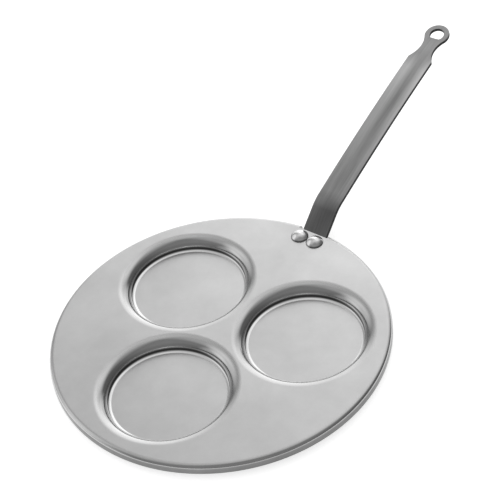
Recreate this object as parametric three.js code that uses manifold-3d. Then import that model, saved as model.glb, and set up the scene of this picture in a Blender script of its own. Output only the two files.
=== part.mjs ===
// Blini pan: a round steel plate pressed with three shallow cells and a turned-down rim,
// and a strip-steel handle held under the plate by two dome-headed rivets.
// Millimetres, +Z up, handle along +X, standing on the undersides of the cells at z = 0.

import * as THREE from "three";
import { mergeVertices } from "three/addons/utils/BufferGeometryUtils.js";
import Module from "manifold-3d";

const wasm = await Module();
wasm.setup();

// Pressed plate
const PLATE_DIAMETER = 270;
const SHEET = 2.5;
const RIM_DROP = 8; // plate's top to the lower edge of the turned-down rim
const RIM_INSIDE_RADIUS = 1.1; // inside of the rim's fold
const RIM_LAND = 7.6; // flat ring between the cells and the fold
const CELL_COUNT = 3;
const CELL_WEB = 1; // flat strip between two neighbouring cells
const CELL_DEPTH = 10.2; // plate's top to a cell's floor
const LIP_INSIDE_RADIUS = 8.5; // gentle start of the bend from plate to wall, on the underside
const LIP_ANGLE = 30; // degrees from level at which the gentle start ends
const SHOULDER_INSIDE_RADIUS = 6.9; // rest of the bend from plate to wall, on the underside
const FILLET_INSIDE_RADIUS = 1.5; // bend from wall to floor, on the top
const STEEPEST_WALL = 88; // degrees from level

// Opening in the rim that the handle passes through
const NOTCH_INSET = 1.4; // flat plate that is cut away behind the fold
const NOTCH_CLEARANCE = 2.5; // beside the handle, on each side
const STRAP_CLEARANCE = 0.35; // cut edge of the plate to the start of the handle's bend

// Rivets
const RIVET_HEAD_DIAMETER = 14.4;
const RIVET_HEAD_HEIGHT = 4.3;
const RIVET_HEAD_EDGE = 0.6; // upright edge below the dome
const RIVET_HEAD_GAP = 0.4; // between the two heads
const RIVET_EDGE_GAP = 1.5; // head to the cut edge of the plate
const RIVET_SHANK_DIAMETER = 6;
const RIVET_TAIL_DIAMETER = 8;
const RIVET_TAIL_HEIGHT = 1.8;
const HOLE_CLEARANCE = 0.3; // round a shank

// Strip handle: lengths along its upper face, angles in degrees from level
const STRAP_WIDTH = 23;
const STRAP_THICKNESS = 3;
const STRAP_CROWN = 0.8; // rise of the middle over the two edges
const TANG_OVERHANG = 11; // tang's inner end to the rivets
const TANG_CORNER_RADIUS = 8;
const TANG_EDGE = 0.8; // rivet hole to the side of the tang
const ROOT_BEND_RADIUS = 3;
const RISER_ANGLE = 41;
const RISER_LENGTH = 20.2;
const KNEE_BEND_RADIUS = 32;
const RUN_ANGLE = 20.2; // just past the knee
const RUN_LENGTH = 152.9; // knee to the shoulders of the neck
const RUN_ARCH_RADIUS = 1700; // the run droops slightly towards its end
const SHOULDER_STEP = 4.7; // neck narrower than the strap, on each side
const NECK_RADIUS = 22;
const EYE_INSET = 0.65; // eye narrower than the strap, on each side
const EYE_RING = 4.65; // steel round the hanging hole

// Fineness of the round forms
const PLATE_SEGMENTS = 96;
const CELL_SEGMENTS = 48;
const HOLE_SEGMENTS = 24;
const BEND_STEPS = 4;
const LIP_STEPS = 3;
const RUN_STEPS = 6;
const NECK_STEPS = 8;
const EYE_STEPS = 11;
const ACROSS_STEPS = 6;
const CUT_MARGIN = 2; // how far a cutter stands past what it cuts

const radians = THREE.MathUtils.degToRad;

// Plate and cells
const plateRadius = PLATE_DIAMETER / 2;
const rimRadius = RIM_INSIDE_RADIUS + SHEET;
const lipRadius = LIP_INSIDE_RADIUS + SHEET;
const shoulderRadius = SHOULDER_INSIDE_RADIUS + SHEET;
const lipAngle = radians(LIP_ANGLE);
const bendSum = shoulderRadius + FILLET_INSIDE_RADIUS;
const tighter = lipRadius - shoulderRadius;
const wallSlope = (lipRadius - tighter * Math.cos(lipAngle) + FILLET_INSIDE_RADIUS - CELL_DEPTH) / bendSum;
const wallAngle = Math.acos(Math.max(Math.cos(radians(STEEPEST_WALL)), wallSlope));
const bendDrop = bendSum * (1 - Math.cos(wallAngle)) + tighter * (1 - Math.cos(lipAngle));
const wallLength = (CELL_DEPTH - bendDrop) / Math.sin(wallAngle);
const bendRun = bendSum * Math.sin(wallAngle) + tighter * Math.sin(lipAngle);
const wallRun = bendRun + wallLength * Math.cos(wallAngle);
const halfStep = Math.sin(Math.PI / CELL_COUNT);
const roomForCells = plateRadius - rimRadius - RIM_LAND;
const mouthRadius = (roomForCells - CELL_WEB / (2 * halfStep)) / (1 + 1 / halfStep);
const floorRadius = mouthRadius - wallRun;
const cellPitch = roomForCells - mouthRadius;
const cellLap = CELL_WEB / 3; // flat collar by which a cell joins the plate

// Rivets and the opening in the rim
const rivetPitch = RIVET_HEAD_DIAMETER + RIVET_HEAD_GAP;
const holeRadius = RIVET_SHANK_DIAMETER / 2 + HOLE_CLEARANCE;
const notchEdge = plateRadius - rimRadius - NOTCH_INSET;
const rivetX = notchEdge - RIVET_EDGE_GAP - RIVET_HEAD_DIAMETER / 2;

// Handle
const strapHalf = STRAP_WIDTH / 2;
const tangHalf = rivetPitch / 2 + holeRadius + TANG_EDGE;
const neckHalf = strapHalf - SHOULDER_STEP;
const eyeRadius = strapHalf - EYE_INSET;
const shoulderToNeck = Math.sqrt(NECK_RADIUS ** 2 - (NECK_RADIUS - SHOULDER_STEP) ** 2);
const neckToEye = Math.sqrt((NECK_RADIUS + eyeRadius) ** 2 - (NECK_RADIUS + neckHalf) ** 2);
const kneeTurn = radians(RISER_ANGLE - RUN_ANGLE);
const tangStart = rivetX - TANG_OVERHANG;
const tangEnd = notchEdge + STRAP_CLEARANCE - tangStart;
const rootEnd = tangEnd + ROOT_BEND_RADIUS * radians(RISER_ANGLE);
const riserEnd = rootEnd + RISER_LENGTH;
const kneeEnd = riserEnd + KNEE_BEND_RADIUS * kneeTurn;
const shoulderAt = kneeEnd + RUN_LENGTH;
const neckAt = shoulderAt + shoulderToNeck;
const eyeAt = neckAt + neckToEye;
const tipAt = eyeAt + eyeRadius;
const neckEnd = neckAt + (neckToEye * NECK_RADIUS) / (NECK_RADIUS + eyeRadius);

// The upper face seen from the side, as stretches that are straight (bend 0) or turn upwards (bend > 0)
const stretches = [
  { until: tangEnd, bend: 0 },
  { until: rootEnd, bend: 1 / ROOT_BEND_RADIUS },
  { until: riserEnd, bend: 0 },
  { until: kneeEnd, bend: -1 / KNEE_BEND_RADIUS },
  { until: tipAt, bend: -1 / RUN_ARCH_RADIUS },
];

// Point and slope of the upper face at a distance along the strap
function strapAt(distance) {
  let x = tangStart;
  let z = -SHEET;
  let angle = 0;
  let start = 0;
  for (const { until, bend } of stretches) {
    const length = Math.min(distance, until) - start;
    const end = angle + bend * length;
    if (bend === 0) {
      x += length * Math.cos(angle);
      z += length * Math.sin(angle);
    } else {
      x += (Math.sin(end) - Math.sin(angle)) / bend;
      z += (Math.cos(angle) - Math.cos(end)) / bend;
    }
    angle = end;
    if (distance <= until) break;
    start = until;
  }
  return { x, z, angle };
}

// Half the strap's width: rounded tang, strap, concave neck, round eye
function halfWidthAt(distance) {
  if (distance < TANG_CORNER_RADIUS) {
    const toCorner = TANG_CORNER_RADIUS - distance;
    return tangHalf - TANG_CORNER_RADIUS + Math.sqrt(TANG_CORNER_RADIUS ** 2 - toCorner ** 2);
  }
  if (distance <= shoulderAt) {
    return THREE.MathUtils.lerp(tangHalf, strapHalf, THREE.MathUtils.smoothstep(distance, tangEnd, kneeEnd));
  }
  if (distance < neckEnd) {
    return neckHalf + NECK_RADIUS - Math.sqrt(NECK_RADIUS ** 2 - (distance - neckAt) ** 2);
  }
  return Math.sqrt(Math.max(0, eyeRadius ** 2 - (distance - eyeAt) ** 2));
}

// The strap is flat under the plate and at the eye, and crowned between
function crownAt(distance) {
  const rise = THREE.MathUtils.smoothstep(distance, rootEnd, kneeEnd);
  const fall = 1 - THREE.MathUtils.smoothstep(distance, shoulderAt, neckEnd);
  return STRAP_CROWN * rise * fall;
}

function spread(from, to, steps) {
  return Array.from({ length: steps }, (_, i) => from + ((to - from) * (i + 1)) / steps);
}

// Closed manifold solid of a geometry, with its shared vertices merged and collapsed triangles left out
function solidOf(geometry) {
  const bare = new THREE.BufferGeometry();
  bare.setAttribute("position", geometry.getAttribute("position").clone());
  bare.setIndex(geometry.index);
  const merged = mergeVertices(bare, 1e-4);
  const corners = merged.index.array;
  const triangles = [];
  for (let i = 0; i < corners.length; i += 3) {
    const [a, b, c] = corners.slice(i, i + 3);
    if (a !== b && b !== c && c !== a) triangles.push(a, b, c);
  }
  const vertProperties = merged.getAttribute("position").array;
  return new wasm.Manifold(
    new wasm.Mesh({ numProp: 3, vertProperties, triVerts: new Uint32Array(triangles) }),
  );
}

function meshOf(name, solid, material) {
  const { vertProperties, triVerts } = solid.getMesh();
  const geometry = new THREE.BufferGeometry();
  geometry.setAttribute("position", new THREE.BufferAttribute(vertProperties, 3));
  geometry.setIndex(new THREE.BufferAttribute(triVerts, 1));
  geometry.computeVertexNormals();
  const mesh = new THREE.Mesh(geometry, material);
  mesh.name = name;
  return mesh;
}

// A profile of [radius, height] pairs turned round +Z
function turned(profile, segments, x = 0, y = 0) {
  const points = profile.map(([radius, height]) => new THREE.Vector2(radius, height));
  return solidOf(new THREE.LatheGeometry(points, segments).rotateX(Math.PI / 2).translate(x, y, 0));
}

// An upright cylinder between two heights
function rod(radius, low, high, segments, x = 0, y = 0) {
  const bar = new THREE.CylinderGeometry(radius, radius, high - low, segments);
  return solidOf(bar.rotateX(Math.PI / 2).translate(x, y, (low + high) / 2));
}

// Points of an arc round a centre, from one angle to another, measured from +radius towards +height
function arc(centreRadius, centreHeight, radius, from, to, steps = BEND_STEPS) {
  return [from, ...spread(from, to, steps)].map((angle) => [
    centreRadius + radius * Math.cos(angle),
    centreHeight + radius * Math.sin(angle),
  ]);
}

// The flat disc with its rim folded down
function rimmedDisc() {
  const foldAt = plateRadius - rimRadius;
  const quarter = Math.PI / 2;
  const profile = [
    [0, -SHEET],
    ...arc(foldAt, -rimRadius, RIM_INSIDE_RADIUS, quarter, 0),
    [plateRadius - SHEET, -RIM_DROP],
    [plateRadius, -RIM_DROP],
    ...arc(foldAt, -rimRadius, rimRadius, 0, quarter),
    [0, 0],
  ];
  return turned(profile, PLATE_SEGMENTS);
}

// One drawn cell of even thickness, with a collar that laps the plate
function cell(x, y) {
  const level = Math.PI / 2;
  const shoulderAt = mouthRadius - tighter * Math.sin(lipAngle);
  const shoulderHeight = tighter * Math.cos(lipAngle) - lipRadius;
  const lip = (radius, from, to) =>
    arc(mouthRadius, -lipRadius, radius, level + from, level + to, LIP_STEPS);
  const shoulder = (radius, from, to) =>
    arc(shoulderAt, shoulderHeight, radius, level + from, level + to);
  const fillet = (radius, from, to) =>
    arc(floorRadius, FILLET_INSIDE_RADIUS - CELL_DEPTH, radius, from - level, to - level);
  const profile = [
    [0, -CELL_DEPTH - SHEET],
    ...fillet(FILLET_INSIDE_RADIUS + SHEET, 0, wallAngle),
    ...shoulder(SHOULDER_INSIDE_RADIUS, wallAngle, lipAngle),
    ...lip(LIP_INSIDE_RADIUS, lipAngle, 0).slice(1),
    [mouthRadius + cellLap, -SHEET],
    [mouthRadius + cellLap, 0],
    ...lip(lipRadius, 0, lipAngle),
    ...shoulder(shoulderRadius, lipAngle, wallAngle).slice(1),
    ...fillet(FILLET_INSIDE_RADIUS, wallAngle, 0),
    [0, -CELL_DEPTH],
  ];
  return turned(profile, CELL_SEGMENTS, x, y);
}

const rivetSides = [
  ["rivet_left", rivetPitch / 2],
  ["rivet_right", -rivetPitch / 2],
];

function panPlate() {
  const cellPlaces = Array.from({ length: CELL_COUNT }, (_, i) => {
    const bearing = ((i + 0.5) * 2 * Math.PI) / CELL_COUNT;
    return [cellPitch * Math.cos(bearing), cellPitch * Math.sin(bearing)];
  });
  let plate = rimmedDisc();
  for (const [x, y] of cellPlaces) {
    plate = plate.subtract(rod(mouthRadius, -SHEET - CUT_MARGIN, CUT_MARGIN, CELL_SEGMENTS, x, y));
  }
  for (const [x, y] of cellPlaces) {
    plate = plate.add(cell(x, y));
  }
  const notchHalf = Math.max(tangHalf, strapHalf) + NOTCH_CLEARANCE;
  const notchDepth = plateRadius + CUT_MARGIN - notchEdge;
  const notchHeight = RIM_DROP + 2 * CUT_MARGIN;
  const notch = new THREE.BoxGeometry(notchDepth, 2 * notchHalf, notchHeight);
  notch.translate(notchEdge + notchDepth / 2, 0, -RIM_DROP / 2);
  plate = plate.subtract(solidOf(notch));
  for (const [, y] of rivetSides) {
    plate = plate.subtract(rod(holeRadius, -SHEET - CUT_MARGIN, CUT_MARGIN, HOLE_SEGMENTS, rivetX, y));
  }
  const steel = new THREE.MeshStandardMaterial({ color: 0xc6c6c6, roughness: 0.36, metalness: 1 });
  return meshOf("pan_plate", plate, steel);
}

// Distances at which the strap gets a cross-section: more where it bends or changes width
function strapStations() {
  const cornerSteps = spread(0, Math.PI / 2, BEND_STEPS);
  const eyeStart = Math.asin((neckEnd - eyeAt) / eyeRadius);
  return [
    0,
    ...cornerSteps.map((turn) => TANG_CORNER_RADIUS * (1 - Math.cos(turn))),
    ...spread(TANG_CORNER_RADIUS, tangEnd, 1),
    ...spread(tangEnd, rootEnd, BEND_STEPS),
    ...spread(rootEnd, riserEnd, 2),
    ...spread(riserEnd, kneeEnd, BEND_STEPS),
    ...spread(kneeEnd, shoulderAt, RUN_STEPS),
    ...spread(shoulderAt, neckEnd, NECK_STEPS),
    ...spread(eyeStart, Math.PI / 2, EYE_STEPS).map((turn) => eyeAt + eyeRadius * Math.sin(turn)),
  ];
}

// One cross-section: along the crowned upper face, and back along the lower one
function strapSection(distance) {
  const { x, z, angle } = strapAt(distance);
  const half = halfWidthAt(distance);
  const crown = crownAt(distance);
  const ring = [];
  for (const depth of [0, STRAP_THICKNESS]) {
    for (let i = 0; i <= ACROSS_STEPS; i++) {
      const y = half * (1 - (2 * i) / ACROSS_STEPS);
      const lift = crown * (1 - (y / strapHalf) ** 2) - depth;
      ring[depth === 0 ? i : 2 * ACROSS_STEPS + 1 - i] = [
        x - lift * Math.sin(angle),
        y,
        z + lift * Math.cos(angle),
      ];
    }
  }
  return ring;
}

// Skin through the cross-sections, closed at the tang's end
function strapBlank() {
  const rings = strapStations().map(strapSection);
  const around = rings[0].length;
  const index = [];
  for (let row = 0; row + 1 < rings.length; row++) {
    for (let i = 0; i < around; i++) {
      const [a, b] = [row * around + i, row * around + ((i + 1) % around)];
      index.push(a, b, a + around, b, b + around, a + around);
    }
  }
  for (let i = 0; i < ACROSS_STEPS; i++) {
    const [top, low] = [i, around - 1 - i];
    index.push(top, low, top + 1, top + 1, low, low - 1);
  }
  const blank = new THREE.BufferGeometry();
  blank.setAttribute("position", new THREE.Float32BufferAttribute(rings.flat(2), 3));
  blank.setIndex(index);
  return solidOf(blank);
}

// The hanging hole, bored square to the eye
function eyeBore() {
  const { x, z, angle } = strapAt(eyeAt);
  const length = STRAP_THICKNESS + 2 * CUT_MARGIN;
  const bore = new THREE.CylinderGeometry(eyeRadius - EYE_RING, eyeRadius - EYE_RING, length, HOLE_SEGMENTS);
  bore.translate(0, -STRAP_THICKNESS / 2, 0);
  bore.rotateX(Math.PI / 2).rotateY(-angle).translate(x, 0, z);
  return solidOf(bore);
}

function handle() {
  let strap = strapBlank().subtract(eyeBore());
  const strapLow = -SHEET - STRAP_THICKNESS;
  for (const [, y] of rivetSides) {
    strap = strap.subtract(rod(holeRadius, strapLow - CUT_MARGIN, CUT_MARGIN, HOLE_SEGMENTS, rivetX, y));
  }
  const steel = new THREE.MeshStandardMaterial({ color: 0x868686, roughness: 0.42, metalness: 1 });
  return meshOf("handle", strap, steel);
}

// Dome head on the plate, shank through plate and tang, peened tail below
function rivet(name, y) {
  const headRadius = RIVET_HEAD_DIAMETER / 2;
  const domeHeight = RIVET_HEAD_HEIGHT - RIVET_HEAD_EDGE;
  const domeRadius = (headRadius ** 2 + domeHeight ** 2) / (2 * domeHeight);
  const domeStart = Math.asin((domeRadius - domeHeight) / domeRadius);
  const tailTop = -SHEET - STRAP_THICKNESS;
  const tailRadius = RIVET_TAIL_DIAMETER / 2;
  const profile = [
    [0, tailTop - RIVET_TAIL_HEIGHT],
    [RIVET_SHANK_DIAMETER / 2, tailTop - RIVET_TAIL_HEIGHT],
    [tailRadius, tailTop - RIVET_TAIL_HEIGHT / 2],
    [tailRadius, tailTop],
    [RIVET_SHANK_DIAMETER / 2, tailTop],
    [RIVET_SHANK_DIAMETER / 2, 0],
    [headRadius, 0],
    ...arc(0, RIVET_HEAD_HEIGHT - domeRadius, domeRadius, domeStart, Math.PI / 2),
  ];
  const steel = new THREE.MeshStandardMaterial({ color: 0xd8d8d8, roughness: 0.22, metalness: 1 });
  const mesh = meshOf(name, turned(profile, HOLE_SEGMENTS), steel);
  mesh.position.set(rivetX, y, 0);
  return mesh;
}

// The pieces are placed about the pan's axis, then moved so that the origin is below the middle of the whole
const pieces = new THREE.Group();
pieces.add(panPlate(), handle(), ...rivetSides.map(([name, y]) => rivet(name, y)));
const tip = strapAt(tipAt);
const reach = tip.x + STRAP_THICKNESS * Math.sin(tip.angle);
pieces.position.set((plateRadius - reach) / 2, 0, CELL_DEPTH + SHEET);

const bliniPan = new THREE.Group();
bliniPan.add(pieces);

export default bliniPan;
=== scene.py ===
"""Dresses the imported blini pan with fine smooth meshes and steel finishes, and sets its studio and camera."""

import math

import bmesh
import bpy
from mathutils import Matrix, Vector


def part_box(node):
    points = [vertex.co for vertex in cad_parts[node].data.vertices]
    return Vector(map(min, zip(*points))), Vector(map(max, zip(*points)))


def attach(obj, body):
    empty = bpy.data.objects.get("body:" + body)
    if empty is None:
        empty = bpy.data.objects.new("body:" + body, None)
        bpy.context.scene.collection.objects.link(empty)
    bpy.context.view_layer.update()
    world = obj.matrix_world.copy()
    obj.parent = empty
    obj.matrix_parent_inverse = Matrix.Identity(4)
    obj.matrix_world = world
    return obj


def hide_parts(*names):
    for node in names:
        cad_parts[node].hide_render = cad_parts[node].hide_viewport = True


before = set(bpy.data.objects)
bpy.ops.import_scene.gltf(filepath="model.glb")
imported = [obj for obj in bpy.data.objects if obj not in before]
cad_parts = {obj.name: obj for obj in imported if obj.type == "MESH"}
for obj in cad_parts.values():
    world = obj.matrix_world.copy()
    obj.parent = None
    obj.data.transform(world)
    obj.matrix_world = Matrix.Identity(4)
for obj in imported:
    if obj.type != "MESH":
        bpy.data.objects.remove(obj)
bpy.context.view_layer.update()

# Sizes in millimetres, the same as the solids'. Drawn about the pan's axis, with height 0 on the plate's top.
MM = 0.001
PLATE_RADIUS = 135.0
SHEET = 2.5
RIM_DROP = 8.0
RIM_RADIUS = 3.6
RIM_LAND = 7.6
RIM_EDGE_RADIUS = 0.6
CELL_COUNT = 3
CELL_WEB = 1.0
CELL_DEPTH = 10.2
LIP_RADIUS = 11.0
LIP_ANGLE = math.radians(30)
SHOULDER_RADIUS = 9.4
FILLET_RADIUS = 1.5
EASE_RADIUS = 5.0
EASE_ANGLE = math.radians(25)
NOTCH_EDGE = 130.0
NOTCH_HALF = 14.0
RIVET_X = 121.3
RIVET_PITCH = 14.8
RIVET_HEAD_RADIUS = 7.2
RIVET_HEAD_HEIGHT = 4.3
RIVET_HEAD_EDGE = 0.6
RIVET_SHANK_RADIUS = 3.0
RIVET_TAIL_RADIUS = 4.0
RIVET_TAIL_HEIGHT = 1.8
STRAP_HALF = 11.5
STRAP_THICKNESS = 3.0
STRAP_CROWN = 0.8
STRAP_EDGE_RADIUS = 0.45
TANG_START = 110.3
TANG_END = 20.05
TANG_CORNER_RADIUS = 8.0
ROOT_BEND_RADIUS = 3.0
RISER_ANGLE = math.radians(41)
RISER_LENGTH = 20.2
KNEE_BEND_RADIUS = 32.0
RUN_ANGLE = math.radians(20.2)
RUN_LENGTH = 152.9
RUN_ARCH_RADIUS = 1700.0
SHOULDER_STEP = 4.7
NECK_RADIUS = 22.0
EYE_RADIUS = 10.85
EYE_HOLE_RADIUS = 6.2

# Narrow strips of mesh beside a bend, which keep the shading of the flat face next to it even
SUPPORT = 0.3
CELL_COLLAR = CELL_WEB / 3
SHOULDER_COLLAR = 1.0

# Steps of mesh round or along each form
CELL_STEPS = 160
LIP_STEPS = 10
SHOULDER_STEPS = 14
FOOT_STEPS = 12
EASE_STEPS = 10
RIM_STEPS = 260
RIM_FOLD_STEPS = 12
RIM_INSIDE_STEPS = 6
RIM_EDGE_STEPS = 4
STRAP_STEPS = 20
STRAP_EDGE_STEPS = 4
TANG_CORNER_STEPS = 6
TANG_STEPS = 4
ROOT_STEPS = 8
RISER_STEPS = 10
KNEE_STEPS = 14
RUN_STEPS = 60
NECK_STEPS = 24
EYE_STEPS = 64
RIVET_STEPS = 64
DOME_STEPS = 16
TAIL_STEPS = 8
SHARP_ANGLE = math.radians(42)

# Sizes that follow for the plate and its cells
QUARTER = math.pi / 2
TIGHTER = LIP_RADIUS - SHOULDER_RADIUS
BEND_SUM = SHOULDER_RADIUS + FILLET_RADIUS
WALL_ANGLE = math.acos((LIP_RADIUS - TIGHTER * math.cos(LIP_ANGLE) + FILLET_RADIUS - CELL_DEPTH) / BEND_SUM)
WALL_RUN = BEND_SUM * math.sin(WALL_ANGLE) + TIGHTER * math.sin(LIP_ANGLE)
HALF_STEP = math.sin(math.pi / CELL_COUNT)
CELL_ROOM = PLATE_RADIUS - RIM_RADIUS - RIM_LAND
MOUTH_RADIUS = (CELL_ROOM - CELL_WEB / (2 * HALF_STEP)) / (1 + 1 / HALF_STEP)
FLOOR_RADIUS = MOUTH_RADIUS - WALL_RUN
CELL_PITCH = CELL_ROOM - MOUTH_RADIUS
# The foot keeps the height of the solid's fillet, as a tight bend that eases into the floor.
FOOT_RISE = FILLET_RADIUS * (1 - math.cos(WALL_ANGLE))
EASE_RISE = EASE_RADIUS * (1 - math.cos(EASE_ANGLE))
FOOT_RADIUS = (FOOT_RISE - EASE_RISE) / (math.cos(EASE_ANGLE) - math.cos(WALL_ANGLE))
FOOT_AT = FLOOR_RADIUS + (FILLET_RADIUS - FOOT_RADIUS) * math.sin(WALL_ANGLE)
FLAT_RADIUS = FOOT_AT - (EASE_RADIUS - FOOT_RADIUS) * math.sin(EASE_ANGLE)
PAN_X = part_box("pan_plate")[0].x / MM + PLATE_RADIUS
PLATE_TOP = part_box("pan_plate")[1].z / MM


def place(x, y, z):
    """A point drawn about the pan's axis, in metres in the row frame."""
    return Vector((x + PAN_X, y, z + PLATE_TOP)) * MM


def spread(start, end, steps):
    """Even numbers from start to end, both included."""
    return [start + (end - start) * i / steps for i in range(steps + 1)]


def arc(centre_r, centre_z, radius, start, end, steps):
    """Points of an arc in a section, angles from outwards towards up."""
    return [
        (centre_r + radius * math.cos(a), centre_z + radius * math.sin(a))
        for a in spread(start, end, steps)
    ]


def circle(bm, centre, radius, height, steps):
    """A level ring of vertices."""
    return [
        bm.verts.new(place(centre[0] + radius * math.cos(a), centre[1] + radius * math.sin(a), height))
        for a in spread(0, 2 * math.pi, steps)[:-1]
    ]


def join_rows(bm, rows, closed, material=0):
    """Quads between neighbouring rows of vertices, with the number of the material they take."""
    for row, following in zip(rows, rows[1:]):
        count = len(row)
        for i in range(count if closed else count - 1):
            j = (i + 1) % count
            face = bm.faces.new((row[i], row[j], following[j], following[i]))
            face.material_index = material


def loop_edges(bm, loop):
    """The edges of a closed loop of vertices, made where there are none yet."""
    edges = []
    for a, b in zip(loop, loop[1:] + loop[:1]):
        edges.append(bm.edges.get((a, b)) or bm.edges.new((a, b)))
    return edges


def fill(bm, loops):
    """Flat triangles inside the first loop and outside the others."""
    edges = [edge for loop in loops for edge in loop_edges(bm, loop)]
    bmesh.ops.triangle_fill(bm, use_beauty=True, edges=edges)


def fill_fan(bm, loop, centre):
    """Triangles from a loop to a point in its middle."""
    middle = bm.verts.new(centre)
    for a, b in zip(loop, loop[1:] + loop[:1]):
        bm.faces.new((a, b, middle))


def finish_piece(bm, name, node, materials):
    """Turns the drawn mesh into a smooth-shaded piece that stands for a node."""
    bmesh.ops.recalc_face_normals(bm, faces=bm.faces)
    mesh = bpy.data.meshes.new(name)
    bm.to_mesh(mesh)
    bm.free()
    mesh.polygons.foreach_set("use_smooth", [True] * len(mesh.polygons))
    mesh.set_sharp_from_angle(angle=SHARP_ANGLE)
    for material in materials:
        mesh.materials.append(material)
    piece = bpy.data.objects.new(name, mesh)
    bpy.context.scene.collection.objects.link(piece)
    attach(piece, "root")
    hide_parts(node)


# Plate

def cell_section(depth):
    """Radius and height from a cell's mouth to its floor, on the face at a depth in the sheet."""
    shoulder_at = MOUTH_RADIUS - TIGHTER * math.sin(LIP_ANGLE)
    shoulder_z = TIGHTER * math.cos(LIP_ANGLE) - LIP_RADIUS
    ease_z = EASE_RADIUS - CELL_DEPTH
    foot_z = ease_z - (EASE_RADIUS - FOOT_RADIUS) * math.cos(EASE_ANGLE)
    lip_end, wall = QUARTER + LIP_ANGLE, QUARTER + WALL_ANGLE
    foot_start, foot_end = WALL_ANGLE - QUARTER, EASE_ANGLE - QUARTER
    return [
        (MOUTH_RADIUS + CELL_COLLAR, -depth),
        *arc(MOUTH_RADIUS, -LIP_RADIUS, LIP_RADIUS - depth, QUARTER, lip_end, LIP_STEPS),
        *arc(shoulder_at, shoulder_z, SHOULDER_RADIUS - depth, lip_end, wall, SHOULDER_STEPS)[1:],
        *arc(FOOT_AT, foot_z, FOOT_RADIUS + depth, foot_start, foot_end, FOOT_STEPS)[1:],
        *arc(FLAT_RADIUS, ease_z, EASE_RADIUS + depth, foot_end, -QUARTER, EASE_STEPS)[1:],
        (FLAT_RADIUS - SUPPORT, -depth - CELL_DEPTH),
    ]


def cell_face(bm, centre, depth):
    """One face of a drawn cell, at a depth in the sheet. Returns the loop that meets the plate."""
    rows = [circle(bm, centre, radius, height, CELL_STEPS) for radius, height in cell_section(depth)]
    join_rows(bm, rows, closed=True)
    fill(bm, [rows[-1]])
    return rows[0]


def rim_section():
    """The folded rim's outline, from the plate's top round the lower edge to the plate's underside."""
    start = math.hypot(NOTCH_EDGE, NOTCH_HALF)
    fold_at = PLATE_RADIUS - RIM_RADIUS
    outer_edge = PLATE_RADIUS - RIM_EDGE_RADIUS
    inner_edge = PLATE_RADIUS - SHEET + RIM_EDGE_RADIUS
    edge_z = RIM_EDGE_RADIUS - RIM_DROP
    return [
        (start, 0),
        *arc(fold_at, -RIM_RADIUS, RIM_RADIUS, QUARTER, 0, RIM_FOLD_STEPS),
        *arc(outer_edge, edge_z, RIM_EDGE_RADIUS, 0, -QUARTER, RIM_EDGE_STEPS),
        *arc(inner_edge, edge_z, RIM_EDGE_RADIUS, -QUARTER, -2 * QUARTER, RIM_EDGE_STEPS),
        *arc(fold_at, -RIM_RADIUS, RIM_RADIUS - SHEET, 0, QUARTER, RIM_INSIDE_STEPS),
        (start, -SHEET),
    ]


def rim_rows(bm):
    """The rim's section carried round the plate from one side of the handle's opening to the other."""
    rows = []
    for share in spread(0, 1, RIM_STEPS):
        row = []
        for radius, height in rim_section():
            opening = math.asin(NOTCH_HALF / radius)
            turn = opening + 2 * (math.pi - opening) * share
            row.append(bm.verts.new(place(radius * math.cos(turn), radius * math.sin(turn), height)))
        rows.append(row)
    join_rows(bm, rows, closed=False)
    return rows


def pan_plate(material):
    """A folded rim, three drawn cells and the flat sheet between them."""
    bm = bmesh.new()
    rows = rim_rows(bm)
    bm.faces.new(rows[0])
    bm.faces.new(rows[-1])
    bm.faces.new((rows[0][0], rows[-1][0], rows[-1][-1], rows[0][-1]))
    tops = [[row[0] for row in rows]]
    undersides = [[row[-1] for row in rows]]
    for i in range(CELL_COUNT):
        bearing = (2 * i + 1) * math.pi / CELL_COUNT
        centre = (CELL_PITCH * math.cos(bearing), CELL_PITCH * math.sin(bearing))
        tops.append(cell_face(bm, centre, 0))
        undersides.append(cell_face(bm, centre, SHEET))
    fill(bm, tops)
    fill(bm, undersides)
    finish_piece(bm, "plate_skin", "pan_plate", [material])


# Handle

ROOT_END = TANG_END + ROOT_BEND_RADIUS * RISER_ANGLE
RISER_END = ROOT_END + RISER_LENGTH
KNEE_END = RISER_END + KNEE_BEND_RADIUS * (RISER_ANGLE - RUN_ANGLE)
SHOULDER_AT = KNEE_END + RUN_LENGTH
NECK_HALF = STRAP_HALF - SHOULDER_STEP
NECK_AT = SHOULDER_AT + math.sqrt(NECK_RADIUS**2 - (NECK_RADIUS - SHOULDER_STEP) ** 2)
NECK_TO_EYE = math.sqrt((NECK_RADIUS + EYE_RADIUS) ** 2 - (NECK_RADIUS + NECK_HALF) ** 2)
EYE_AT = NECK_AT + NECK_TO_EYE
NECK_END = NECK_AT + NECK_TO_EYE * NECK_RADIUS / (NECK_RADIUS + EYE_RADIUS)
# Where each stretch of the strap ends, and how sharply it bends up
STRETCHES = [
    (TANG_END, 0),
    (ROOT_END, 1 / ROOT_BEND_RADIUS),
    (RISER_END, 0),
    (KNEE_END, -1 / KNEE_BEND_RADIUS),
    (EYE_AT + 2 * EYE_RADIUS, -1 / RUN_ARCH_RADIUS),
]
# Where the mesh of the parallel strap starts and ends each even run of stations
STATIONS = [
    (TANG_CORNER_RADIUS, TANG_END, TANG_STEPS),
    (TANG_END, ROOT_END, ROOT_STEPS),
    (ROOT_END, RISER_END, RISER_STEPS),
    (RISER_END, KNEE_END, KNEE_STEPS),
    (KNEE_END, SHOULDER_AT - SHOULDER_COLLAR, RUN_STEPS),
]
# The point of an edge's section that lies halfway round its upper corner
HALF_CORNER = 1 + STRAP_EDGE_STEPS // 2


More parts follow.
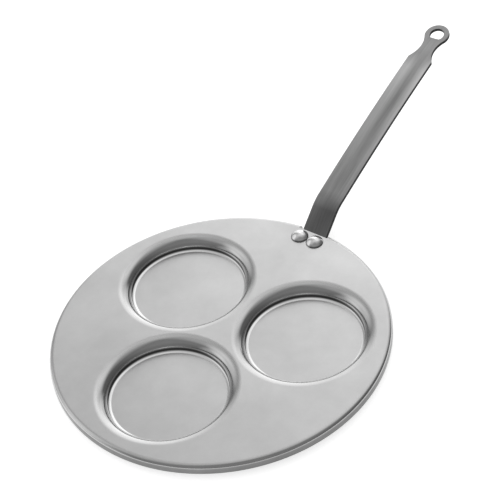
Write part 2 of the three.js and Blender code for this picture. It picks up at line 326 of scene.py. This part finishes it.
def strap_at(distance):
    """Point and slope of the strap's upper face at a distance along it."""
    x, z, angle, start = TANG_START, -SHEET, 0.0, 0.0
    for until, bend in STRETCHES:
        length = min(distance, until) - start
        end = angle + bend * length
        if bend == 0:
            x += length * math.cos(angle)
            z += length * math.sin(angle)
        else:
            x += (math.sin(end) - math.sin(angle)) / bend
            z += (math.cos(angle) - math.cos(end)) / bend
        angle = end
        if distance <= until:
            break
        start = until
    return x, z, angle


def smooth_step(value, low, high):
    """A soft rise from 0 at low to 1 at high."""
    share = min(1.0, max(0.0, (value - low) / (high - low)))
    return share * share * (3 - 2 * share)


def crown_at(distance):
    """The strap is flat under the plate and at the eye, and crowned between."""
    rise = smooth_step(distance, ROOT_END, KNEE_END)
    fall = 1 - smooth_step(distance, SHOULDER_AT, NECK_END)
    return STRAP_CROWN * rise * fall


def strap_point(distance, y, depth):
    """A point of the strap from its place along and across, and its depth below the upper face."""
    x, z, angle = strap_at(distance)
    lift = crown_at(distance) * (1 - (y / STRAP_HALF) ** 2) - depth
    return place(x - lift * math.sin(angle), y, z + lift * math.cos(angle))


def outline():
    """One side of the strap seen from above: distance, half width, outward direction along, and across."""
    points = []
    for turn in spread(0, QUARTER, TANG_CORNER_STEPS):
        along, across = -math.cos(turn), math.sin(turn)
        corner = TANG_CORNER_RADIUS
        points.append((corner * (1 + along), STRAP_HALF - corner * (1 - across), along, across))
    for start, end, steps in STATIONS:
        points += [(stop, STRAP_HALF, 0.0, 1.0) for stop in spread(start, end, steps)[1:]]
    neck_start = math.asin((SHOULDER_AT - NECK_AT) / NECK_RADIUS)
    neck_end = math.asin((NECK_END - NECK_AT) / NECK_RADIUS)
    centre = NECK_HALF + NECK_RADIUS
    points.append((SHOULDER_AT, STRAP_HALF, math.tan(-neck_start / 2), 1.0))
    for turn in spread(neck_start, neck_end, NECK_STEPS)[1:]:
        along, across = -math.sin(turn), math.cos(turn)
        points.append((NECK_AT - NECK_RADIUS * along, centre - NECK_RADIUS * across, along, across))
    return points


def strap_edge(bm, distance, y, along, across):
    """The rounded edge of the strap at one point of its outline, from the upper face round to the lower."""
    radius = STRAP_EDGE_RADIUS
    section = [(radius + SUPPORT, 0.0)]
    for turn in spread(0, QUARTER, STRAP_EDGE_STEPS):
        section.append((radius * (1 - math.sin(turn)), radius * (1 - math.cos(turn))))
    section += [(inset, STRAP_THICKNESS - depth) for inset, depth in reversed(section)]
    return [
        bm.verts.new(strap_point(distance - inset * along, y - inset * across, depth))
        for inset, depth in section
    ]


def eye_edge(bm, radius, turn, facing):
    """The edge of the eye, facing 1, or of its hole, facing -1, at a turn from straight across."""
    along, across = math.sin(turn), math.cos(turn)
    return strap_edge(bm, EYE_AT + radius * along, radius * across, facing * along, facing * across)


def edge_faces(bm, edges):
    """The upper corner takes the face's finish, and the sheared side below it its own."""
    join_rows(bm, [edge[: HALF_CORNER + 1] for edge in edges], closed=False)
    join_rows(bm, [edge[HALF_CORNER:] for edge in edges], closed=False, material=1)


def strap_rows(bm):
    """The strap from the tang to the neck: its left and right edges, and rows on its upper and lower face."""
    inset = STRAP_EDGE_RADIUS + SUPPORT
    left_edges, right_edges, upper_rows, lower_rows = [], [], [], []
    for distance, half, along, across in outline():
        left = strap_edge(bm, distance, half, along, across)
        right = strap_edge(bm, distance, -half, along, -across)
        station, reach = distance - inset * along, half - inset * across
        upper, lower = [left[0]], [left[-1]]
        for share in spread(1, -1, STRAP_STEPS)[1:-1]:
            upper.append(bm.verts.new(strap_point(station, reach * share, 0)))
            lower.append(bm.verts.new(strap_point(station, reach * share, STRAP_THICKNESS)))
        upper.append(right[0])
        lower.append(right[-1])
        left_edges.append(left)
        right_edges.append(right)
        upper_rows.append(upper)
        lower_rows.append(lower)
    return left_edges, right_edges, upper_rows, lower_rows


def handle(face_material, edge_material):
    """A bent strip with rounded edges, closed at the tang and pierced at the eye."""
    bm = bmesh.new()
    left_edges, right_edges, upper_rows, lower_rows = strap_rows(bm)
    join_rows(bm, upper_rows, closed=False)
    join_rows(bm, lower_rows, closed=False)
    bm.faces.new(left_edges[0] + lower_rows[0][1:-1] + right_edges[0][::-1] + upper_rows[0][-2:0:-1])

    start = math.asin((NECK_END - EYE_AT) / EYE_RADIUS)
    tip_turns = spread(start, math.pi - start, EYE_STEPS)[1:-1]
    tip_edges = [eye_edge(bm, EYE_RADIUS, turn, 1) for turn in tip_turns]
    tip_edges = [left_edges[-1], *tip_edges, right_edges[-1]]
    for edges in (left_edges, right_edges, tip_edges):
        edge_faces(bm, edges)

    hole_turns = spread(0, 2 * math.pi, EYE_STEPS)[:-1]
    hole_edges = [eye_edge(bm, EYE_HOLE_RADIUS, turn, -1) for turn in hole_turns]
    edge_faces(bm, hole_edges + hole_edges[:1])
    for end, rows in ((0, upper_rows), (-1, lower_rows)):
        around = [edge[end] for edge in tip_edges] + rows[-1][-2:0:-1]
        fill(bm, [around, [edge[end] for edge in hole_edges]])
    finish_piece(bm, "handle_skin", "handle", [face_material, edge_material])


# Rivets

def rivet(node, y, material):
    """Dome head on the plate, shank, and peened tail below the tang, turned about an upright axis."""
    dome_height = RIVET_HEAD_HEIGHT - RIVET_HEAD_EDGE
    dome_radius = (RIVET_HEAD_RADIUS**2 + dome_height**2) / (2 * dome_height)
    dome_z = RIVET_HEAD_HEIGHT - dome_radius
    dome_start = math.asin((dome_radius - dome_height) / dome_radius)
    tail_top = -SHEET - STRAP_THICKNESS
    section = [
        *arc(0, dome_z, dome_radius, QUARTER, dome_start, DOME_STEPS)[1:],
        (RIVET_HEAD_RADIUS, 0),
        (RIVET_SHANK_RADIUS, 0),
        (RIVET_SHANK_RADIUS, tail_top),
        (RIVET_TAIL_RADIUS, tail_top),
    ]
    for turn in spread(0, QUARTER, TAIL_STEPS)[1:-1]:
        section.append((RIVET_TAIL_RADIUS * math.cos(turn), tail_top - RIVET_TAIL_HEIGHT * math.sin(turn)))
    bm = bmesh.new()
    rows = [circle(bm, (RIVET_X, y), radius, height, RIVET_STEPS) for radius, height in section]
    join_rows(bm, rows, closed=True)
    fill_fan(bm, rows[0], place(RIVET_X, y, RIVET_HEAD_HEIGHT))
    fill_fan(bm, rows[-1], place(RIVET_X, y, tail_top - RIVET_TAIL_HEIGHT))
    finish_piece(bm, node + "_skin", node, [material])


# Materials

NOISE_BOUNDS = (0.3, 0.7)  # most of a noise lies between these


class Nodes:
    """Short calls for building one node tree."""

    def __init__(self, tree):
        self.tree = tree
        tree.nodes.clear()

    def add(self, kind, **settings):
        node = self.tree.nodes.new(kind)
        for key, value in settings.items():
            setattr(node, key, value)
        return node

    def link(self, source, target):
        self.tree.links.new(source, target)

    def math(self, operation, *values):
        """Arithmetic on outputs of other nodes and plain numbers."""
        node = self.add("ShaderNodeMath", operation=operation)
        for socket, value in zip(node.inputs, values):
            if isinstance(value, (int, float)):
                socket.default_value = value
            else:
                self.link(value, socket)
        return node.outputs["Value"]

    def noise(self, vector, scale, detail, roughness=0.5, stretch=(1, 1, 1)):
        mapping = self.add("ShaderNodeMapping")
        mapping.inputs["Scale"].default_value = stretch
        self.link(vector, mapping.inputs["Vector"])
        noise = self.add("ShaderNodeTexNoise")
        noise.inputs["Scale"].default_value = scale
        noise.inputs["Detail"].default_value = detail
        noise.inputs["Roughness"].default_value = roughness
        self.link(mapping.outputs["Vector"], noise.inputs["Vector"])
        return noise.outputs["Fac"]

    def ranged(self, value, bounds, levels, blend="LINEAR"):
        """A value between two bounds turned into one between two levels, and held at them outside."""
        node = self.add("ShaderNodeMapRange", interpolation_type=blend)
        for key, number in zip(("From Min", "From Max", "To Min", "To Max"), (*bounds, *levels)):
            node.inputs[key].default_value = number
        self.link(value, node.inputs["Value"])
        return node.outputs["Result"]

    def varied(self, noise, levels):
        """A level that wanders between two with a noise."""
        return self.ranged(noise, NOISE_BOUNDS, levels)

    def ramp(self, value, stops):
        """A level that follows straight lines through pairs of value and level."""
        start, end = stops[0][0], stops[-1][0]
        highest = max(level for _, level in stops)
        node = self.add("ShaderNodeValToRGB")
        elements = node.color_ramp.elements
        for at, _ in stops[1:-1]:
            elements.new((at - start) / (end - start))
        for element, (_, level) in zip(elements, stops):
            share = level / highest
            element.color = (share, share, share, 1)
        self.link(self.ranged(value, (start, end), (0, 1)), node.inputs["Fac"])
        return self.math("MULTIPLY", node.outputs["Color"], highest)


class Steel(Nodes):
    """A material with a metal shader, and the place on the piece that its finish follows."""

    def __init__(self, name):
        self.material = bpy.data.materials.new(name)
        self.material.use_nodes = True
        super().__init__(self.material.node_tree)
        self.shader = self.add("ShaderNodeBsdfPrincipled")
        self.shader.inputs["Metallic"].default_value = 1.0
        output = self.add("ShaderNodeOutputMaterial")
        self.link(self.shader.outputs["BSDF"], output.inputs["Surface"])
        self.place = self.add("ShaderNodeTexCoord").outputs["Object"]

    def drawn_place(self):
        """The place as the meshes are drawn: x and y about the pan's axis, height over the plate's top."""
        drawn = self.add("ShaderNodeVectorMath", operation="MULTIPLY_ADD")
        drawn.inputs[1].default_value = (1 / MM, 1 / MM, 1 / MM)
        drawn.inputs[2].default_value = (-PAN_X, 0, -PLATE_TOP)
        self.link(self.place, drawn.inputs[0])
        split = self.add("ShaderNodeSeparateXYZ")
        self.link(drawn.outputs["Vector"], split.inputs["Vector"])
        return split.outputs["X"], split.outputs["Y"], split.outputs["Z"]

    def paint(self, tone, gloss, grain, relief):
        """Links a grey tone, a roughness and a fine grain with a relief in millimetres to the shader."""
        colour = self.add("ShaderNodeCombineColor")
        for channel in ("Red", "Green", "Blue"):
            self.link(tone, colour.inputs[channel])
        self.link(colour.outputs["Color"], self.shader.inputs["Base Color"])
        self.link(gloss, self.shader.inputs["Roughness"])
        bump = self.add("ShaderNodeBump")
        bump.inputs["Strength"].default_value = 1.0
        bump.inputs["Distance"].default_value = relief * MM
        self.link(grain, bump.inputs["Height"])
        self.link(bump.outputs["Normal"], self.shader.inputs["Normal"])
        return self.material


# Plate finish: grey tones and roughness, with bounds in millimetres
SHEET_TONE = (0.575, 0.615)
SHEET_SMUDGE = (-0.03, 0.03)
SHEET_GLOSS = (0.32, 0.28)
SHEET_RELIEF = 0.001
WALL_GLOSS = -0.17
WALL_START = (0.01, 0.1)  # height over a cell's floor
WALL_END = (-1.2, -0.1)  # height over the plate's top
CELLS_END = (128.0, 130.0)  # reach from the pan's axis
# Painted shade on the rim's turned-down outer face: how much darker it is, and the reach and height where it
# starts
SKIRT_PAINTED_SHADE = -0.35
SKIRT_START = (133.5, 134.5)  # reach from the pan's axis
SKIRT_TOP = (-2.8, -1.8)  # height over the plate's top
# Painted highlights and painted shade in bands round a drawn wall, standing in for its reflections: height over
# the cell's floor in millimetres, and tone against the plain sheet
WALL_PAINTED_LIGHT = [
    (0.0, 1.0),
    (0.04, 1.35),
    (0.6, 1.35),
    (1.2, 0.2),
    (2.8, 0.25),
    (3.4, 1.0),
    (4.0, 1.8),
    (4.5, 1.0),
    (5.5, 0.8),
    (7.0, 1.0),
    (CELL_DEPTH, 1.0),
]


def plate_steel():
    """Satin sheet with soft smudges, glossy walls in its cells with bright and dark bands of painted highlight
    and painted shade, and painted shade darkening the lower fold round its rim.
    """
    steel = Steel("plate_steel")
    x, y, height = steel.drawn_place()
    over_floor = steel.math("ADD", height, CELL_DEPTH)
    reach = steel.math("SQRT", steel.math("MULTIPLY_ADD", x, x, steel.math("MULTIPLY", y, y)))
    below_top = steel.ranged(height, WALL_END, (1, 0))
    wall = steel.math("MINIMUM", steel.ranged(over_floor, WALL_START, (0, 1)), below_top)
    # Painted shade on the rim's turned-down outer face
    painted_skirt_shade_side = steel.ranged(reach, SKIRT_START, (0, SKIRT_PAINTED_SHADE))
    painted_skirt_shade = steel.math("MAXIMUM", painted_skirt_shade_side, steel.ranged(height, SKIRT_TOP, (SKIRT_PAINTED_SHADE, 0)))
    smudges = steel.noise(steel.place, scale=16, detail=3)
    marks = steel.noise(steel.place, scale=75, detail=7, roughness=0.7)
    plain = steel.math("ADD", steel.varied(smudges, SHEET_SMUDGE), steel.varied(marks, SHEET_TONE))
    # Painted highlights and painted shade: bright and dark bands round the cells' walls, fading out towards the
    # rim
    painted_wall_shift = steel.math("SUBTRACT", steel.ramp(over_floor, WALL_PAINTED_LIGHT), 1)
    painted_wall_light = steel.math("MULTIPLY_ADD", painted_wall_shift, steel.ranged(reach, CELLS_END, (1, 0)), 1)
    tone = steel.math("MULTIPLY_ADD", plain, painted_wall_light, painted_skirt_shade)
    gloss = steel.math("MULTIPLY_ADD", wall, WALL_GLOSS, steel.varied(smudges, SHEET_GLOSS))
    grain = steel.noise(steel.place, scale=1400, detail=2)
    return steel.paint(tone, gloss, grain, SHEET_RELIEF)


# Strap finish: grey tones and roughness, with bounds in millimetres from the pan's axis
# Darker towards the plate: the tone rises from half to full between these reaches
STRAP_ROOT_DARKENING_AT = (148.0, 163.0)
STRAP_ROOT_DARKENING = (0.5, 1)
STRAP_MIDDLE_AT = (264.0, 304.0)
STRAP_MIDDLE = (0.34, 0.42)
# Lighter towards the strap's sides: growing along the strap, and fading out near its end
STRAP_SIDE_LIFT_AT = (160.0, 279.0)
STRAP_SIDE_LIFT = (0.03, 0.31)
STRAP_SIDE_LIFT_END = (292.0, 308.0)
STRAP_BORDER = (0, 8.5)  # across from the dark line along the middle
STRAP_OFF_CENTRE = 2.2  # from that line to the strap's true middle
STRAP_STREAK = (-0.05, 0.05)
STRAP_SMUDGE = (-0.03, 0.03)
STRAP_GLOSS = (0.36, 0.3)
STRAP_RELIEF = 0.0015
# Marks are drawn out along the strap, which runs in x and z.
STREAK_STRETCH = (0.03, 1, 0.03)
SMUDGE_STRETCH = (0.3, 1, 0.3)
GRAIN_STRETCH = (0.05, 1, 0.05)


def strap_steel():
    """Rolled strip with lengthwise streaks, dark on the riser and along its middle, lighter at its sides."""
    steel = Steel("strap_steel")
    along, across, _ = steel.drawn_place()
    off_middle = steel.math("ABSOLUTE", steel.math("ADD", across, STRAP_OFF_CENTRE))
    border = steel.ranged(off_middle, STRAP_BORDER, (0, 1), "SMOOTHSTEP")
    # Lighter towards the strap's sides along its run
    rising = steel.ranged(along, STRAP_SIDE_LIFT_AT, STRAP_SIDE_LIFT)
    side_lift = steel.math("MULTIPLY", rising, steel.ranged(along, STRAP_SIDE_LIFT_END, (1, 0)))
    middle = steel.ranged(along, STRAP_MIDDLE_AT, STRAP_MIDDLE)
    streaks = steel.noise(steel.place, scale=700, detail=4, roughness=0.65, stretch=STREAK_STRETCH)
    smudges = steel.noise(steel.place, scale=60, detail=7, roughness=0.75, stretch=SMUDGE_STRETCH)
    worn = steel.math("ADD", steel.varied(streaks, STRAP_STREAK), steel.varied(smudges, STRAP_SMUDGE))
    rolled = steel.math("ADD", steel.math("MULTIPLY_ADD", border, side_lift, middle), worn)
    # Darker towards the plate
    tone = steel.math("MULTIPLY", rolled, steel.ranged(along, STRAP_ROOT_DARKENING_AT, STRAP_ROOT_DARKENING))
    gloss = steel.varied(streaks, STRAP_GLOSS)
    grain = steel.noise(steel.place, scale=1200, detail=2, stretch=GRAIN_STRETCH)
    return steel.paint(tone, gloss, grain, STRAP_RELIEF)


# Finish of the sheared edges, whose near-black tone is painted shade
CUT_SIDE_PAINTED_SHADE = (0.012, 0.03)
CUT_SIDE_GLOSS = (0.55, 0.42)
CUT_SIDE_SHINE = 0.2
CUT_SIDE_RELIEF = 0.003


def cut_edge_steel():
    """The strip's sheared edges: painted shade as a near-black tone with a coarse grain, which doesn't shine as
    metal.
    """
    steel = Steel("cut_edge_steel")
    steel.shader.inputs["Metallic"].default_value = 0.0
    steel.shader.inputs["Specular IOR Level"].default_value = CUT_SIDE_SHINE
    # Painted shade: a near-black tone on the sheared sides, varied by a noise
    scale = steel.noise(steel.place, scale=500, detail=4)
    grain = steel.noise(steel.place, scale=1500, detail=2)
    return steel.paint(steel.varied(scale, CUT_SIDE_PAINTED_SHADE), steel.varied(scale, CUT_SIDE_GLOSS), grain, CUT_SIDE_RELIEF)


# Rivet finish, with bounds in millimetres over the plate's top
RIVET_TONE = (0.8, 0.9)
RIVET_GLOSS = (0.22, 0.15)
# Painted shade on the head's lower edge: heights where it fades out, and the share of the tone left at the
# bottom
RIVET_EDGE_SHADE_AT = (0.6, 1.6)
RIVET_EDGE_SHADE = (0.3, 1)
RIVET_RELIEF = 0.002


def rivet_steel():
    """Bright headed wire, polished by the setting tool, with faint scuffs and painted shade darkening its lower
    edge against the plate.
    """
    steel = Steel("rivet_steel")
    height = steel.drawn_place()[2]
    scuffs = steel.noise(steel.place, scale=320, detail=4)
    # Painted shade darkening the head towards the plate
    painted_edge_shade = steel.ranged(height, RIVET_EDGE_SHADE_AT, RIVET_EDGE_SHADE, "SMOOTHSTEP")
    tone = steel.math("MULTIPLY", steel.varied(scuffs, RIVET_TONE), painted_edge_shade)
    grain = steel.noise(steel.place, scale=700, detail=2)
    return steel.paint(tone, steel.varied(scuffs, RIVET_GLOSS), grain, RIVET_RELIEF)


# Studio

UP = Vector((0, 0, 1))
WHITE = (1, 1, 1, 1)
CAMERA = Vector((-617.27, -607.36, 873.52))  # about the pan's axis, millimetres
CAMERA_YAW = math.radians(1.65)
CAMERA_PITCH = math.radians(2.72)
CAMERA_ROLL = math.radians(-9.13)
CAMERA_CLIP = (0.05, 50)
FOCAL_PIXELS = 1570.97
PHOTO_PIXELS = 500
SENSOR = 36.0
FLOOR_HALF = 6.0
FLOOR_COLOUR = (0.8, 0.8, 0.8, 1)
FLOOR_WHITE = 0.85  # glow that the camera sees
FLOOR_WHITE_SHADE = 0.7  # share of it that is left in the pan's shadow
FLOOR_GLOW = 0.68  # glow in reflections
FLOOR_GLOW_SHADE = 0.5  # share of it that is left in the pan's shadow
SHADOW_REACH = 0.08
SHADOW_SAMPLES = 8
ROOM_LEVEL = 0.145
# Azimuth from straight behind the pan towards the left, elevation, inner and outer half angle, level
PANELS = [
    (-30, 6, 2, 32, 0.7),
    (0, 6, 2, 32, 0.54),
    (90, 6, 2, 32, 0.4),
    (-3, 24, 2, 32, 0.58),
    (-6, 36, 2, 18, 0.4),
    (62, 24, 2, 38, 0.6),
    (-38, 44, 2, 33, 0.44),
    (-60, 64, 2, 39, 0.26),
    (-16, 64, 2, 39, 0.22),
    (64, 60, 2, 39, 0.28),
    (165, 35, 5, 85, 0.13),
]


def sides(ahead):
    """The directions right of and above a view."""
    right = ahead.cross(UP).normalized()
    return right, right.cross(ahead)


def camera():
    """A camera at the photograph's place, aimed near the plate's middle and rolled a little."""
    middle = (-CAMERA).normalized()
    right, above = sides(middle)
    ahead = (middle + math.tan(CAMERA_YAW) * right + math.tan(CAMERA_PITCH) * above).normalized()
    right, above = sides(ahead)
    rolled_right = math.cos(CAMERA_ROLL) * right + math.sin(CAMERA_ROLL) * above
    rolled_up = math.cos(CAMERA_ROLL) * above - math.sin(CAMERA_ROLL) * right
    data = bpy.data.cameras.new("camera")
    data.sensor_width = SENSOR
    data.lens = SENSOR * FOCAL_PIXELS / PHOTO_PIXELS
    data.clip_start, data.clip_end = CAMERA_CLIP
    cam = bpy.data.objects.new("camera", data)
    bpy.context.scene.collection.objects.link(cam)
    turn = Matrix((rolled_right, rolled_up, -ahead)).transposed().to_4x4()
    cam.matrix_world = Matrix.Translation(place(*CAMERA)) @ turn
    bpy.context.scene.camera = cam


def floor_white():
    """Pale matt floor that glows to the camera and in reflections, less so in the pan's shadow."""
    material = bpy.data.materials.new("floor_white")
    material.use_nodes = True
    nodes = Nodes(material.node_tree)
    diffuse = nodes.add("ShaderNodeBsdfDiffuse")
    diffuse.inputs["Color"].default_value = FLOOR_COLOUR
    contact = nodes.add("ShaderNodeAmbientOcclusion", samples=SHADOW_SAMPLES)
    contact.inputs["Distance"].default_value = SHADOW_REACH
    clear = contact.outputs["AO"]
    path = nodes.add("ShaderNodeLightPath")
    reflected = nodes.math("MAXIMUM", path.outputs["Is Glossy Ray"], path.outputs["Is Transmission Ray"])
    white = nodes.ranged(clear, (0, 1), (FLOOR_WHITE_SHADE * FLOOR_WHITE, FLOOR_WHITE))
    mirrored = nodes.ranged(clear, (0, 1), (FLOOR_GLOW_SHADE * FLOOR_GLOW, FLOOR_GLOW))
    seen = nodes.math("MULTIPLY", path.outputs["Is Camera Ray"], white)
    glow = nodes.add("ShaderNodeEmission")
    glow.inputs["Color"].default_value = WHITE
    nodes.link(nodes.math("MULTIPLY_ADD", reflected, mirrored, seen), glow.inputs["Strength"])
    both = nodes.add("ShaderNodeAddShader")
    nodes.link(diffuse.outputs["BSDF"], both.inputs[0])
    nodes.link(glow.outputs["Emission"], both.inputs[1])
    output = nodes.add("ShaderNodeOutputMaterial")
    nodes.link(both.outputs["Shader"], output.inputs["Surface"])
    return material


def floor(material):
    """A wide flat floor under the pan."""
    corners = [(FLOOR_HALF * x, FLOOR_HALF * y, 0) for x, y in ((-1, -1), (1, -1), (1, 1), (-1, 1))]
    mesh = bpy.data.meshes.new("floor")
    mesh.from_pydata(corners, [], [(0, 1, 2, 3)])
    mesh.materials.append(material)
    plane = bpy.data.objects.new("floor", mesh)
    bpy.context.scene.collection.objects.link(plane)


def panel_aim(azimuth, elevation):
    """The direction of a panel, from its azimuth and elevation in degrees."""
    behind = Vector((-CAMERA.x, -CAMERA.y, 0)).normalized()
    turn, rise = math.radians(azimuth), math.radians(elevation)
    level = math.cos(turn) * behind + math.sin(turn) * UP.cross(behind)
    return math.cos(rise) * level + math.sin(rise) * UP


def studio():
    """A dim room with broad soft panels of light behind, above and beside the pan, and faintly in front."""
    world = bpy.data.worlds.new("studio")
    bpy.context.scene.world = world
    world.use_nodes = True
    nodes = Nodes(world.node_tree)
    direction = nodes.add("ShaderNodeTexCoord").outputs["Generated"]
    total = ROOM_LEVEL
    for azimuth, elevation, inner, outer, level in PANELS:
        nearness = nodes.add("ShaderNodeVectorMath", operation="DOT_PRODUCT")
        nearness.inputs[1].default_value = panel_aim(azimuth, elevation)
        nodes.link(direction, nearness.inputs[0])
        bounds = (math.cos(math.radians(outer)), math.cos(math.radians(inner)))
        panel = nodes.ranged(nearness.outputs["Value"], bounds, (0, level), "SMOOTHSTEP")
        total = nodes.math("ADD", panel, total)
    background = nodes.add("ShaderNodeBackground")
    background.inputs["Color"].default_value = WHITE
    nodes.link(total, background.inputs["Strength"])
    output = nodes.add("ShaderNodeOutputWorld")
    nodes.link(background.outputs["Background"], output.inputs["Surface"])


pan_plate(plate_steel())
handle(strap_steel(), cut_edge_steel())
rivet_finish = rivet_steel()
rivet("rivet_left", RIVET_PITCH / 2, rivet_finish)
rivet("rivet_right", -RIVET_PITCH / 2, rivet_finish)
floor(floor_white())
studio()
camera()
bpy.context.scene.view_settings.view_transform = "Standard"
